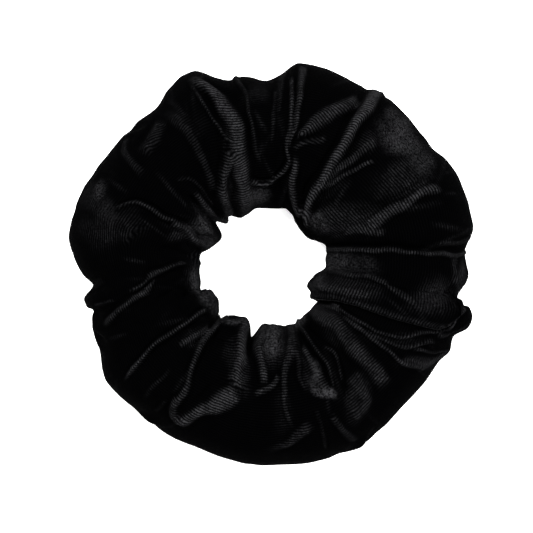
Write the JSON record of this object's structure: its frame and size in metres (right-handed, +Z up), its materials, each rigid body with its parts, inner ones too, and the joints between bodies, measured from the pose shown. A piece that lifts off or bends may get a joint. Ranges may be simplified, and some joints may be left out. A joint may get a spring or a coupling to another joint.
{
  "type": "scrunchie",
  "caption": "Gathered stretch-velvet hair tie: a puffed cloth sleeve shirred over a hidden elastic loop, lying flat as a thick ruched ring with a small round opening for the hair.",
  "frame": {"origin": "on the table, under the middle of the ring's outer outline", "axes": "+Z up through the opening, away from the table; +X towards the side where the cuff closes the sleeve, a little to the +Y side of the closure"},
  "size_m": [0.115, 0.115, 0.0259],
  "materials": {
    "velvet": "black stretch velvet, fine ribbed pile with a soft grey sheen on the ridges",
    "braid": "flat braided elastic, black",
    "thread": "black spun polyester thread"
  },
  "bodies": {
    "span_01": {"sleeve_01": "velvet", "elastic_01": "braid", "seam_thread_01": "thread"},
    "span_02": {"sleeve_02": "velvet", "elastic_02": "braid", "seam_thread_02": "thread"},
    "span_03": {"sleeve_03": "velvet", "elastic_03": "braid", "seam_thread_03": "thread"},
    "span_04": {"sleeve_04": "velvet", "elastic_04": "braid", "seam_thread_04": "thread"},
    "span_05": {"sleeve_05": "velvet", "elastic_05": "braid", "seam_thread_05": "thread"},
    "span_06": {"sleeve_06": "velvet", "elastic_06": "braid", "seam_thread_06": "thread"},
    "span_07": {"sleeve_07": "velvet", "elastic_07": "braid", "seam_thread_07": "thread"},
    "span_08": {"sleeve_08": "velvet", "elastic_08": "braid", "seam_thread_08": "thread"},
    "span_09": {"sleeve_09": "velvet", "elastic_09": "braid", "seam_thread_09": "thread"},
    "span_10": {"sleeve_10": "velvet", "elastic_10": "braid", "seam_thread_10": "thread", "closing_thread": "thread", "elastic_join_thread": "thread"}
  },
  "joints": [
    {"name": "stretch", "type": "slide", "parent": "span_01", "child": "span_02", "axis": [-0.801, -0.5987, 0], "range_m": [0, 0.0119], "stiffness_N_per_m": 200},
    {"name": "stretch_02", "type": "slide", "parent": "span_02", "child": "span_03", "axis": [-0.9996, 0.0291, 0], "range_m": [0, 0.0119], "stiffness_N_per_m": 200},
    {"name": "stretch_03", "type": "slide", "parent": "span_03", "child": "span_04", "axis": [-0.7648, 0.6443, 0], "range_m": [0, 0.0119], "stiffness_N_per_m": 200},
    {"name": "stretch_04", "type": "slide", "parent": "span_04", "child": "span_05", "axis": [-0.1984, 0.9801, 0], "range_m": [0, 0.0119], "stiffness_N_per_m": 200},
    {"name": "stretch_05", "type": "slide", "parent": "span_05", "child": "span_06", "axis": [0.454, 0.891, 0], "range_m": [0, 0.0119], "stiffness_N_per_m": 200},
    {"name": "stretch_06", "type": "slide", "parent": "span_06", "child": "span_07", "axis": [0.9096, 0.4156, 0], "range_m": [0, 0.0119], "stiffness_N_per_m": 200},
    {"name": "stretch_07", "type": "slide", "parent": "span_07", "child": "span_08", "axis": [0.9708, -0.24, 0], "range_m": [0, 0.0119], "stiffness_N_per_m": 200},
    {"name": "stretch_08", "type": "slide", "parent": "span_08", "child": "span_09", "axis": [0.6111, -0.7916, 0], "range_m": [0, 0.0119], "stiffness_N_per_m": 200},
    {"name": "stretch_09", "type": "slide", "parent": "span_09", "child": "span_10", "axis": [-0.0136, -0.9999, 0], "range_m": [0, 0.0119], "stiffness_N_per_m": 200}
  ],
  "couplings": [
    {"joint": "stretch_02", "follows": "stretch", "ratio": 1},
    {"joint": "stretch_03", "follows": "stretch", "ratio": 1},
    {"joint": "stretch_04", "follows": "stretch", "ratio": 1},
    {"joint": "stretch_05", "follows": "stretch", "ratio": 1},
    {"joint": "stretch_06", "follows": "stretch", "ratio": 1},
    {"joint": "stretch_07", "follows": "stretch", "ratio": 1},
    {"joint": "stretch_08", "follows": "stretch", "ratio": 1},
    {"joint": "stretch_09", "follows": "stretch", "ratio": 1}
  ]
}
